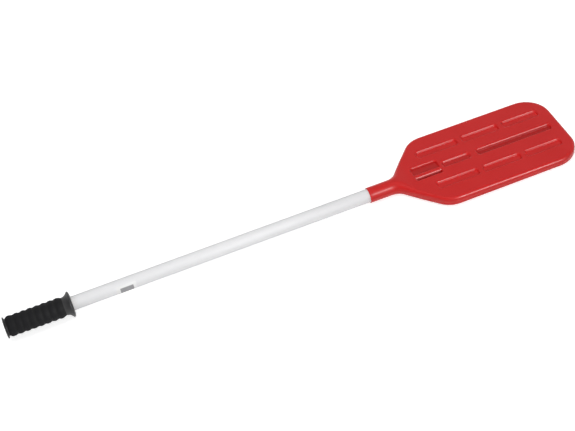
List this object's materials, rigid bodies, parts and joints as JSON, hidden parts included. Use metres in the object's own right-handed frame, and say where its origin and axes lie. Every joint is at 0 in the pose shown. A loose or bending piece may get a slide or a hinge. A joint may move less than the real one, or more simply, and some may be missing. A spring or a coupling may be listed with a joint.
{
  "type": "livestock sorting paddle",
  "caption": "Hand paddle for moving pigs: a flat hollow red plastic blade with pressed grooves and rattling shot inside, on a pale round tube with a ribbed black grip.",
  "frame": {"origin": "centre of the bounding box, on the axis of the round tube", "axes": "+X along the tube from the grip's butt to the blade's tip, +Z square to the blade's upper face, +Y across the blade"},
  "size_m": [1.066, 0.181, 0.0472],
  "materials": {
    "blade_red": "satin moulded polyethylene, finely textured",
    "tube_white": "smooth pale grey-white glass-fibre tube",
    "grip_black": "dull black moulded rubber",
    "label_white": "blank coated sticker",
    "stopper_plastic": "natural moulded plastic",
    "rivet_aluminium": "bright drawn",
    "shot_steel": "ground steel ball"
  },
  "bodies": {
    "stick": {"blade_shell": "blade_red", "shaft_tube": "tube_white", "grip_sleeve": "grip_black", "label_sticker": "label_white", "neck_stopper": "stopper_plastic", "neck_rivet": "rivet_aluminium"},
    "shot_01": {"shot_ball_01": "shot_steel"},
    "shot_02": {"shot_ball_02": "shot_steel"},
    "shot_03": {"shot_ball_03": "shot_steel"},
    "shot_04": {"shot_ball_04": "shot_steel"},
    "shot_05": {"shot_ball_05": "shot_steel"},
    "shot_06": {"shot_ball_06": "shot_steel"},
    "shot_07": {"shot_ball_07": "shot_steel"},
    "shot_08": {"shot_ball_08": "shot_steel"},
    "shot_09": {"shot_ball_09": "shot_steel"},
    "shot_10": {"shot_ball_10": "shot_steel"}
  },
  "joints": [
    {"name": "shot_01_roll", "type": "slide", "parent": "stick", "child": "shot_01", "axis": [1, 0, 0.0046], "range_m": [-0.032, 0.04]},
    {"name": "shot_02_roll", "type": "slide", "parent": "stick", "child": "shot_02", "axis": [1, 0, 0.0046], "range_m": [-0.045, 0.075]},
    {"name": "shot_03_roll", "type": "slide", "parent": "stick", "child": "shot_03", "axis": [1, 0, 0.0046], "range_m": [-0.032, 0.04]},
    {"name": "shot_04_roll", "type": "slide", "parent": "stick", "child": "shot_04", "axis": [1, 0, 0.0046], "range_m": [-0.045, 0.075]},
    {"name": "shot_05_roll", "type": "slide", "parent": "stick", "child": "shot_05", "axis": [1, 0, 0.0046], "range_m": [-0.065, 0.04]},
    {"name": "shot_06_roll", "type": "slide", "parent": "stick", "child": "shot_06", "axis": [1, 0, 0.0046], "range_m": [-0.045, 0.075]},
    {"name": "shot_07_roll", "type": "slide", "parent": "stick", "child": "shot_07", "axis": [1, 0, 0.0046], "range_m": [-0.065, 0.04]},
    {"name": "shot_08_roll", "type": "slide", "parent": "stick", "child": "shot_08", "axis": [1, 0, 0.0046], "range_m": [-0.045, 0.075]},
    {"name": "shot_09_roll", "type": "slide", "parent": "stick", "child": "shot_09", "axis": [0, 1, 0], "range_m": [-0.012, 0.035]},
    {"name": "shot_10_roll", "type": "slide", "parent": "stick", "child": "shot_10", "axis": [0, 1, 0], "range_m": [-0.035, 0.012]}
  ]
}
